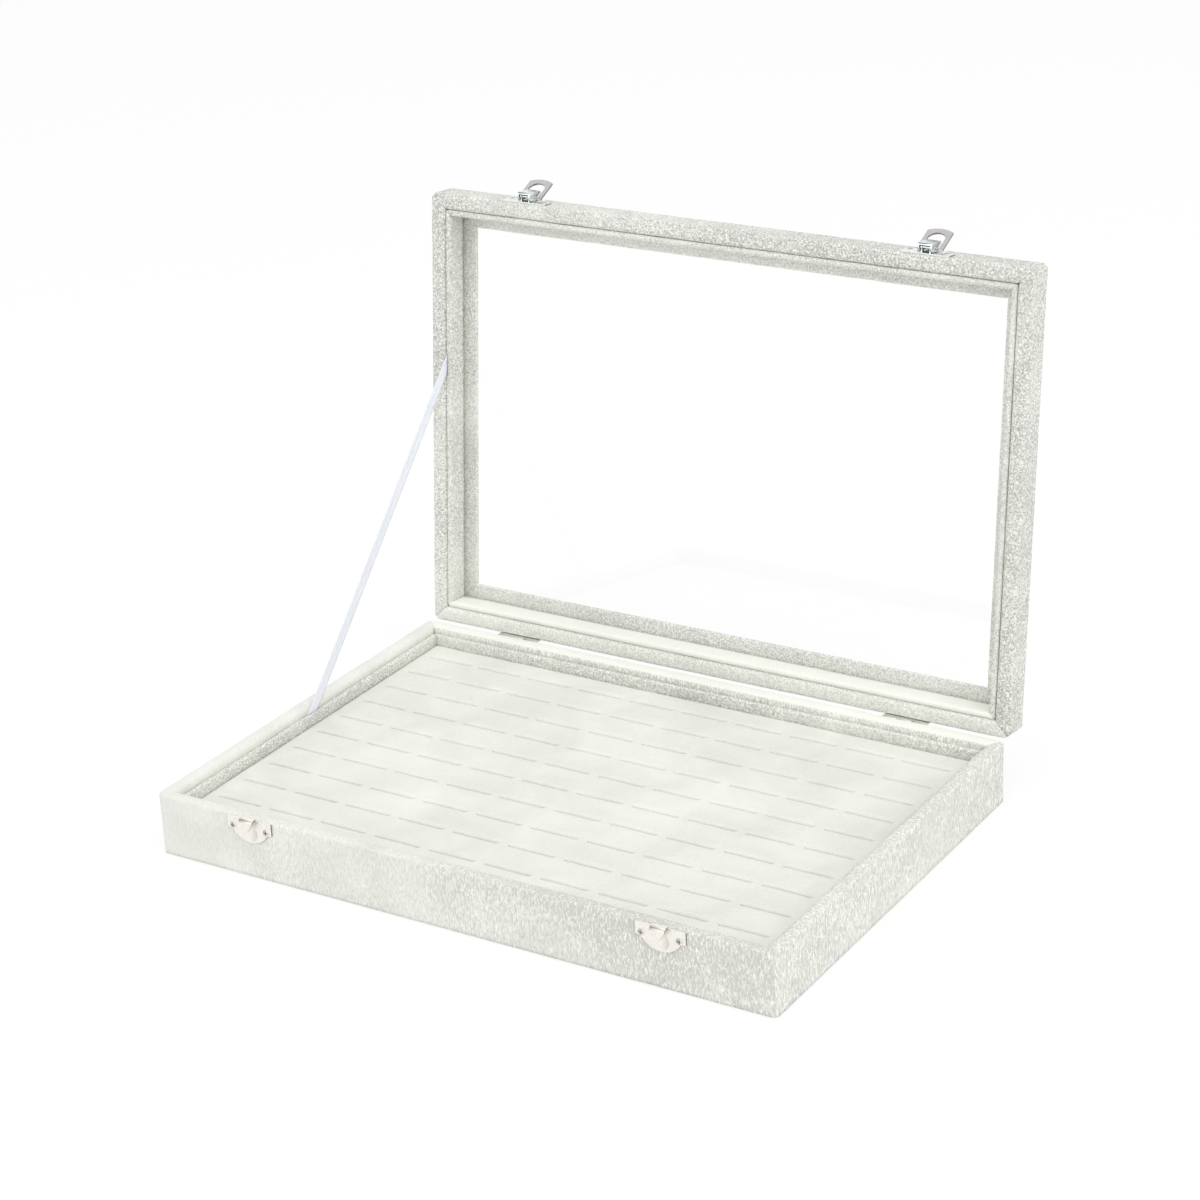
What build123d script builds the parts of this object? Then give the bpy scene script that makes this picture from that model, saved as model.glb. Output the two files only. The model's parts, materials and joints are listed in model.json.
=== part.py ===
"""Velvet covered display case: a tray with a slotted pad and a hinged, glazed lid, shown standing open.

The origin is the middle of the tray's underside. X runs to the right along the front, Y runs to the
back and Z runs up. All lengths are in millimetres.
"""

import os
from math import cos, radians, sin

from build123d import *

# Outer sizes of the tray and of the lid
case_width = 350.0
case_depth = 240.0
base_height = 33.0
lid_height = 17.0
parting_gap = 0.4
lid_open_angle = 96.0

# Velvet skin and its soft rounded edges
velvet = 0.6
corner_round = 3.0
rim_round = 2.6
rim_outer_round = 1.2
skin_floor_gap = 0.3

# Tray walls, floor and linings
base_wall = 7.2
floor_board = 3.0
underside_cover = 0.6
underside_margin = 0.8
base_lining_thickness = 3.2
base_lining_drop = 3.8
base_lining_round = 1.2

# Slotted pad
pad_drop = 8.9
pad_clearance = 0.3
slit_pitch_across = 32.0
slit_pitch_deep = 20.8
slit_side_margin = 7.0
slit_end_margin = 15.0
slit_length = 26.0
slit_gap = 0.8
slit_depth = 14.0

# Lid rails, lip, glass and linings
lid_wall = 8.6
lip_width = 19.6
lip_board = 1.0
lid_face_round = 1.4
lip_edge_round = 1.0
glass_thickness = 1.8
glass_clearance = 0.3
lid_lining_thickness = 3.2
lid_lining_drop = 0.3
lid_lining_round = 1.4

# Butt hinges on the back faces, each centred at an inset from the case's end
hinge_inset = 57.0
hinge_width = 25.0
hinge_leaf_height = 10.0
hinge_leaf = 0.7
hinge_leaf_round = 1.5
hinge_barrel_radius = 1.1
hinge_pin_radius = 0.55
hinge_pin_clearance = 0.05
hinge_knuckle_gap = 0.2
hinge_knuckle_clearance = 0.4
hinge_pin_setback = 1.2
hinge_pin_drop = 2.2
hinge_middle_knuckle = 8.2
hinge_screw_spacing = 14.0
hinge_screw_reach = 6.0

# Half moon plates of the catches and of the latches, centred at an inset from the case's end
fitting_inset = 58.5
plate_width = 26.5
plate_height = 13.4
plate_ear_height = 7.0
plate_arc_half_width = 10.5
plate_arc_start = 7.6
plate_thickness = 0.8
plate_edge_gap = 0.6
plate_screw_spacing = 20.0
plate_screw_reach = 5.8
plate_dish_half_width = 4.6
plate_dish_depth = 0.5

# Hook of a catch, measured outward from the front face and down from the tray's rim
hook_width = 8.0
hook_sheet = 0.8
hook_reach = 3.9
hook_bend = 1.7
hook_top = 0.2
hook_drop = 5.8
hook_taper_start = 1.6
hook_tip_width = 2.0

# Toggle lever, measured outward from the lid's front face and up from the lid's mating edge
lever_width = 7.6
lever_sheet = 0.8
lever_pivot_out = 3.4
lever_pivot_up = 2.5
lever_root_radius = 2.3
lever_nose_drop = 1.6
lever_lip_reach = 1.1
lever_length = 10.5
lever_tip_drop = 2.8
lever_plate_gap = 0.3
lever_pin_radius = 0.75
lever_pin_clearance = 0.05
lever_pin_overhang = 0.2
ear_thickness = 0.8
ear_radius = 1.2
ear_foot_drop = 0.6
ear_side_gap = 0.3

# Latch loop
loop_pivot_out = 2.3
loop_pivot_up = 7.4
loop_leg_width = 2.25
loop_sheet = 1.0
loop_side_gap = 0.9
loop_eye_radius = 1.3
loop_shoulder = 12.2
loop_tip = 14.0
loop_opening = 10.9
loop_opening_round = 3.4
loop_lean = 30.0

# Small countersunk screws
screw_head_radius = 1.9
screw_head_rise = 0.35
screw_head_depth = 0.8
screw_shank_radius = 1.0
screw_length = 5.6
screw_point = 0.9
cross_width = 0.45
cross_length = 2.4
cross_depth = 0.55

# Ribbon stay on the left side
ribbon_width = 6.4
ribbon_thickness = 0.3
ribbon_tail = 11.0
ribbon_groove_gap = 0.15
ribbon_base_place = 0.0
ribbon_lid_place = 146.0

# Levels that follow from the sizes above
floor_top = underside_cover + floor_board
base_lining_top = base_height - base_lining_drop
pad_top = base_height - pad_drop
lip_thickness = lip_board + 2 * velvet
glass_level = lip_thickness + glass_thickness
lid_lining_top = lid_height - lid_lining_drop
closed_top = base_height + parting_gap + lid_height
mitre_depth = lip_width + corner_round
hinge_places = {"left": hinge_inset - case_width / 2, "right": case_width / 2 - hinge_inset}
fitting_places = {"left": fitting_inset - case_width / 2, "right": case_width / 2 - fitting_inset}

# The hinge line runs along X just behind the back face and a little below the parting gap, so that
# the open lid's lower edge comes down behind the tray's rim.
pin_y = case_depth / 2 + hinge_pin_setback
pin_z = base_height + parting_gap / 2 - hinge_pin_drop
opening_turn = radians(lid_open_angle)


def opened(y, z):
    """Carry a point of the closed lid, seen from the side, to where it stands on the open lid."""
    behind = y - pin_y
    above = z - pin_z
    return (
        pin_y + behind * cos(opening_turn) + above * sin(opening_turn),
        pin_z - behind * sin(opening_turn) + above * cos(opening_turn),
    )


def opened_direction(y, z):
    """Turn a direction of the closed lid, seen from the side, to its direction on the open lid."""
    return (
        0,
        y * cos(opening_turn) + z * sin(opening_turn),
        -y * sin(opening_turn) + z * cos(opening_turn),
    )


# Each half is drawn on a plane that lies on its outer face, with its height running to its rim.
base_plane = Plane.XY
lid_plane = Plane(
    origin=(0, *opened(0, closed_top)),
    x_dir=(1, 0, 0),
    z_dir=opened_direction(0, -1),
)
base_front = -1
lid_front = 1
sides = ("front", "back", "left", "right")


def lid_point(x, y, z):
    """A point given as it is on the closed lid, at its place on the open lid."""
    return (x, *opened(y, z))


def ring(plane, bottom, top, outer_inset, inner_inset, corner, outer_radius, inner_radius):
    """A rectangular ring between two insets from the outer faces, with both rim edges rounded."""
    with BuildPart() as piece:
        with BuildSketch(plane.offset(bottom)) as section:
            Rectangle(case_width - 2 * outer_inset, case_depth - 2 * outer_inset)
            fillet(section.vertices(), radius=corner)
            Rectangle(case_width - 2 * inner_inset, case_depth - 2 * inner_inset, mode=Mode.SUBTRACT)
        extrude(amount=top - bottom)
        rim = piece.faces().sort_by(Axis(plane.origin, plane.z_dir))[-1]
        fillet(rim.outer_wire().edges(), radius=outer_radius)
        rim = piece.faces().sort_by(Axis(plane.origin, plane.z_dir))[-1]
        fillet(rim.inner_wires()[0].edges(), radius=inner_radius)
    return piece.part


def mitred_outline(front, side, outer_inset, inner_inset):
    """Outline of one side between two insets from the outer faces, with its ends cut at the mitres."""
    facing = {"front": front, "back": -front, "left": -1, "right": 1}[side]
    outer_x = case_width / 2 - outer_inset
    outer_y = case_depth / 2 - outer_inset
    inner_x = case_width / 2 - inner_inset
    inner_y = case_depth / 2 - inner_inset
    if side in ("front", "back"):
        return [
            (-outer_x, facing * outer_y),
            (outer_x, facing * outer_y),
            (inner_x, facing * inner_y),
            (-inner_x, facing * inner_y),
        ]
    return [
        (facing * outer_x, -outer_y),
        (facing * outer_x, outer_y),
        (facing * inner_x, inner_y),
        (facing * inner_x, -inner_y),
    ]


def mitred_side(whole, plane, front, side):
    """One side of a ring, cut off at the mitre lines of its two corners."""
    with BuildPart() as piece:
        add(whole)
        with BuildSketch(plane):
            with BuildLine():
                Polyline(*mitred_outline(front, side, -corner_round, mitre_depth), close=True)
            make_face()
        extrude(amount=base_height + lid_height, mode=Mode.INTERSECT)
    return piece.part


def lining_strip(plane, front, side, bottom, top, inset, thickness, rounding):
    """One lining strip with mitred ends, and with its two long upper edges rounded."""
    with BuildPart() as strip:
        with BuildSketch(plane.offset(bottom)):
            with BuildLine():
                Polyline(*mitred_outline(front, side, inset, inset + thickness), close=True)
            make_face()
        extrude(amount=top - bottom)
        upper_face = strip.faces().sort_by(Axis(plane.origin, plane.z_dir))[-1]
        run = plane.x_dir if side in ("front", "back") else plane.y_dir
        fillet(upper_face.edges().filter_by(Axis(plane.origin, run)), radius=rounding)
    return strip.part


def butted_side(whole, plane, front, side, thickness):
    """One board of a ring: the long boards run through and the short ones stand between them."""
    facing = {"front": front, "back": -front, "left": -1, "right": 1}[side]
    with BuildPart() as piece:
        add(whole)
        with BuildSketch(plane):
            if side in ("front", "back"):
                with Locations((0, facing * (case_depth - thickness) / 2)):
                    Rectangle(case_width, thickness)
            else:
                with Locations((facing * (case_width - thickness) / 2, 0)):
                    Rectangle(thickness, case_depth - 2 * thickness)
        extrude(amount=base_height + lid_height, mode=Mode.INTERSECT)
    return piece.part


def less(piece, cuts):
    """A piece with the volumes of other solids taken out of it."""
    with BuildPart() as cut_piece:
        add(piece)
        for cut in cuts:
            add(cut, mode=Mode.SUBTRACT)
    return cut_piece.part


def together(pieces):
    """Separate solids that share one node."""
    with BuildPart() as group:
        for piece in pieces:
            add(piece)
    return group.part


def save(piece, name):
    """Label one finished piece and write it to its own file."""
    piece.label = name
    export_step(piece, f"parts/{name}.step")


def screw_blank(place):
    """A small countersunk screw without its cross, with its head on the given plane."""
    side_view = Plane(origin=place.origin, x_dir=place.x_dir, z_dir=-place.y_dir)
    with BuildPart() as blank:
        with BuildSketch(side_view):
            with BuildLine():
                dome = TangentArc((0, screw_head_rise), (screw_head_radius, 0), tangent=(1, 0))
                Polyline(
                    dome @ 1,
                    (screw_shank_radius, -screw_head_depth),
                    (screw_shank_radius, screw_point - screw_length),
                    (0, -screw_length),
                    dome @ 0,
                )
            make_face()
        revolve(axis=Axis(place.origin, place.z_dir))
    return blank.part


def screw(place):
    """A small countersunk screw with a cross recess."""
    with BuildPart() as finished:
        add(screw_blank(place))
        with BuildSketch(place.offset(screw_head_rise)):
            Rectangle(cross_length, cross_width)
            Rectangle(cross_width, cross_length)
        extrude(amount=-cross_depth - screw_head_rise, mode=Mode.SUBTRACT)
    return finished.part


def hinge_screw_places(face, direction):
    """Planes on the outer face of one hinge leaf, one for each screw of both hinges."""
    places = []
    for hinge_x in hinge_places.values():
        for offset in (-hinge_screw_spacing / 2, hinge_screw_spacing / 2):
            origin = face.from_local_coords((hinge_x + offset, direction * hinge_screw_reach, hinge_leaf))
            places.append(Plane(origin=origin, x_dir=face.x_dir, z_dir=face.z_dir))
    return places


def plate_screw_places(face, direction):
    """Planes on the outer face of one half moon plate, one for each of its two screws."""
    places = []
    for offset in (-plate_screw_spacing / 2, plate_screw_spacing / 2):
        origin = face.from_local_coords((offset, direction * plate_screw_reach, plate_thickness))
        places.append(Plane(origin=origin, x_dir=face.x_dir, z_dir=face.z_dir))
    return places


# Faces that the metal fittings lie on: X runs to the right, Y away from the tray's floor.
base_back_face = Plane(origin=(0, case_depth / 2, pin_z), x_dir=(-1, 0, 0), z_dir=(0, 1, 0))
lid_back_face = Plane(
    origin=lid_point(0, case_depth / 2, pin_z),
    x_dir=(-1, 0, 0),
    z_dir=opened_direction(1, 0),
)


def base_front_face(x):
    return Plane(origin=(x, -case_depth / 2, base_height), x_dir=(1, 0, 0), z_dir=(0, -1, 0))


def lid_front_face(x):
    return Plane(
        origin=lid_point(x, -case_depth / 2, base_height + parting_gap),
        x_dir=(1, 0, 0),
        z_dir=opened_direction(-1, 0),
    )


base_hinge_screws = hinge_screw_places(base_back_face, -1)
lid_hinge_screws = hinge_screw_places(lid_back_face, 1)
catch_screws = []
latch_screws = []
for fitting_x in fitting_places.values():
    catch_screws += plate_screw_places(base_front_face(fitting_x), -1)
    latch_screws += plate_screw_places(lid_front_face(fitting_x), 1)

# Holes that the screws leave in the boards and in the velvet over them
base_screw_holes = {
    "front": [screw_blank(place) for place in catch_screws],
    "back": [screw_blank(place) for place in base_hinge_screws],
    "left": [],
    "right": [],
}
lid_screw_holes = {
    "front": [screw_blank(place) for place in latch_screws],
    "back": [screw_blank(place) for place in lid_hinge_screws],
    "left": [],
    "right": [],
}

os.makedirs("parts", exist_ok=True)

# Tray floor: a board inside the velvet skin and a thin cover glued under it
with BuildPart() as tray_floor_board:
    with BuildSketch(base_plane.offset(underside_cover)):
        RectangleRounded(case_width - 2 * velvet, case_depth - 2 * velvet, corner_round - velvet)
    extrude(amount=floor_board)
save(tray_floor_board.part, "base_floor_board")

with BuildPart() as tray_underside:
    with BuildSketch(base_plane):
        RectangleRounded(
            case_width - 2 * underside_margin,
            case_depth - 2 * underside_margin,
            corner_round - velvet,
        )
    extrude(amount=underside_cover)
save(tray_underside.part, "base_underside_cover")

# Tray walls: four boards under a velvet skin with mitred corners
base_boards = ring(
    base_plane,
    floor_top,
    base_height - velvet,
    velvet,
    base_wall - velvet,
    corner_round - velvet,
    rim_outer_round - velvet,
    rim_round - velvet,
)
base_outer_form = ring(
    base_plane, skin_floor_gap, base_height, 0, base_wall, corner_round, rim_outer_round, rim_round
)
base_skin = less(base_outer_form, [base_boards, tray_floor_board.part])
with BuildPart() as base_skin_trimmed:
    add(base_skin)
    with BuildSketch(base_plane):
        Rectangle(case_width - 2 * velvet, case_depth - 2 * velvet)
    extrude(amount=floor_top, mode=Mode.SUBTRACT)
for side in sides:
    board = butted_side(base_boards, base_plane, base_front, side, base_wall - velvet)
    save(less(board, base_screw_holes[side]), f"base_{side}_wall")
    skin = mitred_side(base_skin_trimmed.part, base_plane, base_front, side)
    save(less(skin, base_screw_holes[side]), f"base_{side}_velvet")

# Ribbon stay: one straight strip, tucked into the lining grooves of the tray and of the lid
ribbon_foot = Vector(
    base_wall - case_width / 2 + ribbon_groove_gap + ribbon_thickness / 2,
    ribbon_base_place,
    base_lining_top,
)
ribbon_head = Vector(
    *lid_point(
        lid_wall - case_width / 2 + ribbon_groove_gap + ribbon_thickness / 2,
        case_depth / 2 - ribbon_lid_place,
        base_height + parting_gap + lid_lining_drop,
    )
)
ribbon_run = (ribbon_head - ribbon_foot).length
ribbon_plane = Plane(origin=ribbon_foot, x_dir=(1, 0, 0), z_dir=ribbon_head - ribbon_foot)


def ribbon_strip(extra):
    """The ribbon, grown by a small clearance where it is used as a groove."""
    with BuildPart() as strip:
        with BuildSketch(ribbon_plane.offset(-ribbon_tail - extra)):
            Rectangle(ribbon_thickness + 2 * extra, ribbon_width + 2 * extra)
        extrude(amount=ribbon_run + 2 * ribbon_tail + 2 * extra)
    return strip.part


ribbon_groove = ribbon_strip(ribbon_groove_gap)
save(ribbon_strip(0), "ribbon_stay")

# Tray linings: four strips that stand inside the walls, lower than the rim
for side in sides:
    strip = lining_strip(
        base_plane,
        base_front,
        side,
        floor_top,
        base_lining_top,
        base_wall,
        base_lining_thickness,
        base_lining_round,
    )
    if side == "left":
        strip = less(strip, [ribbon_groove])
    save(strip, f"base_{side}_lining")

# Pad: a foam block and the velvet over it, tucked into every slit
pad_across = case_width - 2 * (base_wall + base_lining_thickness + pad_clearance)
pad_deep = case_depth - 2 * (base_wall + base_lining_thickness + pad_clearance)
foam_top = pad_top - velvet
slit_columns = int((pad_across - 2 * slit_side_margin - slit_length) / slit_pitch_across) + 1
slit_rows = int((pad_deep - 2 * slit_end_margin) / slit_pitch_deep) + 1
with BuildPart() as pad_foam:
    with BuildSketch(base_plane.offset(floor_top)):
        Rectangle(pad_across, pad_deep)
    extrude(amount=foam_top - floor_top)
    with BuildSketch(base_plane.offset(foam_top)):
        with GridLocations(slit_pitch_across, slit_pitch_deep, slit_columns, slit_rows):
            Rectangle(slit_length + 2 * velvet, slit_gap + 2 * velvet)
    extrude(amount=-slit_depth, mode=Mode.SUBTRACT)
save(pad_foam.part, "pad_foam")

with BuildPart() as pad_velvet:
    with BuildSketch(base_plane.offset(foam_top)):
        Rectangle(pad_across, pad_deep)
    extrude(amount=velvet)
    with BuildSketch(base_plane.offset(foam_top)):
        with GridLocations(slit_pitch_across, slit_pitch_deep, slit_columns, slit_rows):
            Rectangle(slit_length + 2 * velvet, slit_gap + 2 * velvet)
    extrude(amount=-slit_depth)
    with BuildSketch(base_plane.offset(pad_top)):
        with GridLocations(slit_pitch_across, slit_pitch_deep, slit_columns, slit_rows):
            Rectangle(slit_length, slit_gap)
    extrude(amount=-slit_depth, mode=Mode.SUBTRACT)
save(pad_velvet.part, "pad_velvet")

# Lid: a flat lip board and four rails under a velvet skin with mitred corners
with BuildPart() as lid_lip:
    with BuildSketch(lid_plane.offset(velvet)):
        RectangleRounded(case_width - 2 * velvet, case_depth - 2 * velvet, corner_round - velvet)
        Rectangle(
            case_width - 2 * (lip_width - velvet),
            case_depth - 2 * (lip_width - velvet),
            mode=Mode.SUBTRACT,
        )
    extrude(amount=lip_board)
    outer_face = lid_lip.faces().sort_by(Axis(lid_plane.origin, lid_plane.z_dir))[0]
    fillet(outer_face.outer_wire().edges(), radius=lid_face_round - velvet)
    outer_face = lid_lip.faces().sort_by(Axis(lid_plane.origin, lid_plane.z_dir))[0]
    fillet(outer_face.inner_wires()[0].edges(), radius=lip_edge_round - velvet)
save(lid_lip.part, "lid_lip_board")

lid_rails = ring(
    lid_plane,
    velvet + lip_board,
    lid_height - velvet,
    velvet,
    lid_wall - velvet,
    corner_round - velvet,
    rim_outer_round - velvet,
    rim_round - velvet,
)
with BuildPart() as lid_outer_form:
    add(ring(lid_plane, 0, lid_height, 0, lid_wall, corner_round, rim_outer_round, rim_round))
    with BuildSketch(lid_plane):
        RectangleRounded(case_width, case_depth, corner_round)
        Rectangle(case_width - 2 * lip_width, case_depth - 2 * lip_width, mode=Mode.SUBTRACT)
    extrude(amount=lip_thickness)
    outer_face = lid_outer_form.faces().sort_by(Axis(lid_plane.origin, lid_plane.z_dir))[0]
    fillet(outer_face.outer_wire().edges(), radius=lid_face_round)
    outer_face = lid_outer_form.faces().sort_by(Axis(lid_plane.origin, lid_plane.z_dir))[0]
    fillet(outer_face.inner_wires()[0].edges(), radius=lip_edge_round)
lid_skin = less(lid_outer_form.part, [lid_rails, lid_lip.part])
for side in sides:
    board = butted_side(lid_rails, lid_plane, lid_front, side, lid_wall - velvet)
    save(less(board, lid_screw_holes[side]), f"lid_{side}_rail")
    skin = mitred_side(lid_skin, lid_plane, lid_front, side)
    save(less(skin, lid_screw_holes[side]), f"lid_{side}_velvet")

# Glass pane, held between the lip and the linings
with BuildPart() as glass_pane:
    with BuildSketch(lid_plane.offset(lip_thickness)):
        Rectangle(
            case_width - 2 * (lid_wall + glass_clearance),
            case_depth - 2 * (lid_wall + glass_clearance),
        )
    extrude(amount=glass_thickness)
save(glass_pane.part, "glass_pane")

# Lid linings: four strips that stand on the glass and reach the mating face
for side in sides:
    strip = lining_strip(
        lid_plane,
        lid_front,
        side,
        glass_level,
        lid_lining_top,
        lid_wall,
        lid_lining_thickness,
        lid_lining_round,
    )
    if side == "left":
        strip = less(strip, [ribbon_groove])
    save(strip, f"lid_{side}_lining")


def hinge_leaf_piece(face, direction, centre, knuckles, bore_radius, cleared):
    """A hinge leaf flat on a back face, with its knuckles round the pin.

    Distances across the leaf run from the pin line, and direction says on which side of it the
    leaf lies. The leaf is cut back where the other leaf's knuckles turn.
    """
    pin_plane = Plane(
        origin=face.from_local_coords((centre, 0, hinge_pin_setback)),
        x_dir=face.y_dir,
        z_dir=face.x_dir,
    )
    with BuildPart() as leaf:
        with BuildSketch(face):
            with Locations((centre, direction * hinge_leaf_height / 2)):
                Rectangle(hinge_width, hinge_leaf_height)
        extrude(amount=hinge_leaf)
        far_edge = leaf.faces().sort_by(Axis(face.origin, face.y_dir * direction))[-1]
        fillet(far_edge.edges().filter_by(Axis(face.origin, face.z_dir)), radius=hinge_leaf_round)
        with BuildSketch(face):
            for start, end in cleared:
                with Locations((centre + (start + end) / 2, 0)):
                    Rectangle(end - start, 2 * (hinge_barrel_radius + hinge_knuckle_clearance))
        extrude(amount=hinge_leaf, mode=Mode.SUBTRACT)
        for start, end in knuckles:
            with BuildSketch(pin_plane.offset(start)):
                Circle(hinge_barrel_radius)
            extrude(amount=end - start)
        with BuildSketch(pin_plane.offset(-hinge_width)):
            Circle(bore_radius)
        extrude(amount=2 * hinge_width, mode=Mode.SUBTRACT)
    return leaf.part


half_hinge = hinge_width / 2
half_middle = hinge_middle_knuckle / 2
outer_knuckles = [
    (-half_hinge, -half_middle - hinge_knuckle_gap),
    (half_middle + hinge_knuckle_gap, half_hinge),
]
middle_knuckle = [(-half_middle, half_middle)]
cleared_middle = [(-half_middle - hinge_knuckle_gap, half_middle + hinge_knuckle_gap)]
cleared_outer = [
    (-half_hinge - hinge_knuckle_gap, -half_middle),
    (half_middle, half_hinge + hinge_knuckle_gap),
]

# Hinges: one leaf on each back face, and a pin that stays with the tray's leaf
for name, hinge_x in hinge_places.items():
    base_leaf = hinge_leaf_piece(
        base_back_face, -1, -hinge_x, outer_knuckles, hinge_pin_radius, cleared_middle
    )
    save(less(base_leaf, base_screw_holes["back"]), f"{name}_hinge_base_leaf")
    lid_leaf = hinge_leaf_piece(
        lid_back_face,
        1,
        -hinge_x,
        middle_knuckle,
        hinge_pin_radius + hinge_pin_clearance,
        cleared_outer,
    )
    save(less(lid_leaf, lid_screw_holes["back"]), f"{name}_hinge_lid_leaf")
    with BuildPart() as hinge_pin:
        with BuildSketch(Plane(origin=(hinge_x - half_hinge, pin_y, pin_z), z_dir=(1, 0, 0))):
            Circle(hinge_pin_radius)
        extrude(amount=hinge_width)
    save(hinge_pin.part, f"{name}_hinge_pin")


def half_moon(face, direction):
    """A half moon plate with its straight edge beside the parting line and two screw ears."""
    with BuildPart() as plate:
        with BuildSketch(face):
            with BuildLine():
                Polyline(
                    (-plate_arc_half_width, direction * plate_arc_start),
                    (-plate_width / 2, direction * plate_ear_height),
                    (-plate_width / 2, direction * plate_edge_gap),
                    (plate_width / 2, direction * plate_edge_gap),
                    (plate_width / 2, direction * plate_ear_height),
                    (plate_arc_half_width, direction * plate_arc_start),
                )
                ThreePointArc(
                    (plate_arc_half_width, direction * plate_arc_start),
                    (0, direction * plate_height),
                    (-plate_arc_half_width, direction * plate_arc_start),
                )
            make_face()
        extrude(amount=plate_thickness)
    return plate.part


# Catches on the tray's front: a dished plate with its middle rolled outward and down into a pointed hook
dish_radius = (plate_dish_half_width**2 + plate_dish_depth**2) / (2 * plate_dish_depth)
for name, fitting_x in fitting_places.items():
    face = base_front_face(fitting_x)
    hook_view = Plane(origin=face.origin, x_dir=face.z_dir, z_dir=-face.x_dir)
    with BuildPart() as hook:
        with BuildSketch(hook_view):
            with BuildLine():
                Polyline(
                    (plate_thickness / 2, -plate_edge_gap - hook_sheet),
                    (plate_thickness / 2, hook_top),
                    (hook_reach - hook_bend, hook_top),
                )
                CenterArc((hook_reach - hook_bend, hook_top - hook_bend), hook_bend, 90, -90)
                Polyline(
                    (hook_reach, hook_top - hook_bend),
                    (hook_reach, -hook_drop),
                    (hook_reach - hook_sheet, -hook_drop),
                    (hook_reach - hook_sheet, hook_top - hook_bend),
                )
                CenterArc(
                    (hook_reach - hook_bend, hook_top - hook_bend), hook_bend - hook_sheet, 0, 90
                )
                Polyline(
                    (hook_reach - hook_bend, hook_top - hook_sheet),
                    (plate_thickness, hook_top - hook_sheet),
                    (plate_thickness, -plate_edge_gap - hook_sheet),
                    (plate_thickness / 2, -plate_edge_gap - hook_sheet),
                )
            make_face()
        extrude(amount=hook_width / 2, both=True)
        with BuildSketch(face):
            with BuildLine():
                Polyline(
                    (-hook_width / 2, hook_top + hook_sheet),
                    (hook_width / 2, hook_top + hook_sheet),
                    (hook_width / 2, -hook_taper_start),
                    (hook_tip_width / 2, -hook_drop - hook_sheet),
                    (-hook_tip_width / 2, -hook_drop - hook_sheet),
                    (-hook_width / 2, -hook_taper_start),
                    close=True,
                )
            make_face()
        extrude(amount=hook_reach + hook_sheet, mode=Mode.INTERSECT)
    with BuildPart() as catch_plate:
        add(half_moon(face, -1))
        dish_level = plate_thickness - plate_dish_depth + dish_radius
        with Locations(face.from_local_coords((0, -hook_drop - plate_dish_half_width / 2, dish_level))):
            Sphere(dish_radius, mode=Mode.SUBTRACT)
        add(hook.part)
    save(less(catch_plate.part, base_screw_holes["front"]), f"{name}_catch_plate")

# Latches on the lid's front: a plate with two ears, a lever on a pin, and a loop hung in the lever
lever_top = lever_pivot_out + lever_root_radius
lever_tip = lever_pivot_up + lever_length
lever_foot = plate_thickness + lever_plate_gap
lever_nose = lever_pivot_up - lever_nose_drop
lever_nose_slope = 1 - lever_nose_drop / lever_root_radius
lever_lip_end = lever_top - lever_lip_reach
ear_outer = lever_width / 2 - lever_sheet - ear_side_gap
loop_inner_half = lever_width / 2 + loop_side_gap
loop_outer_half = loop_inner_half + loop_leg_width
lean = radians(loop_lean)

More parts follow.
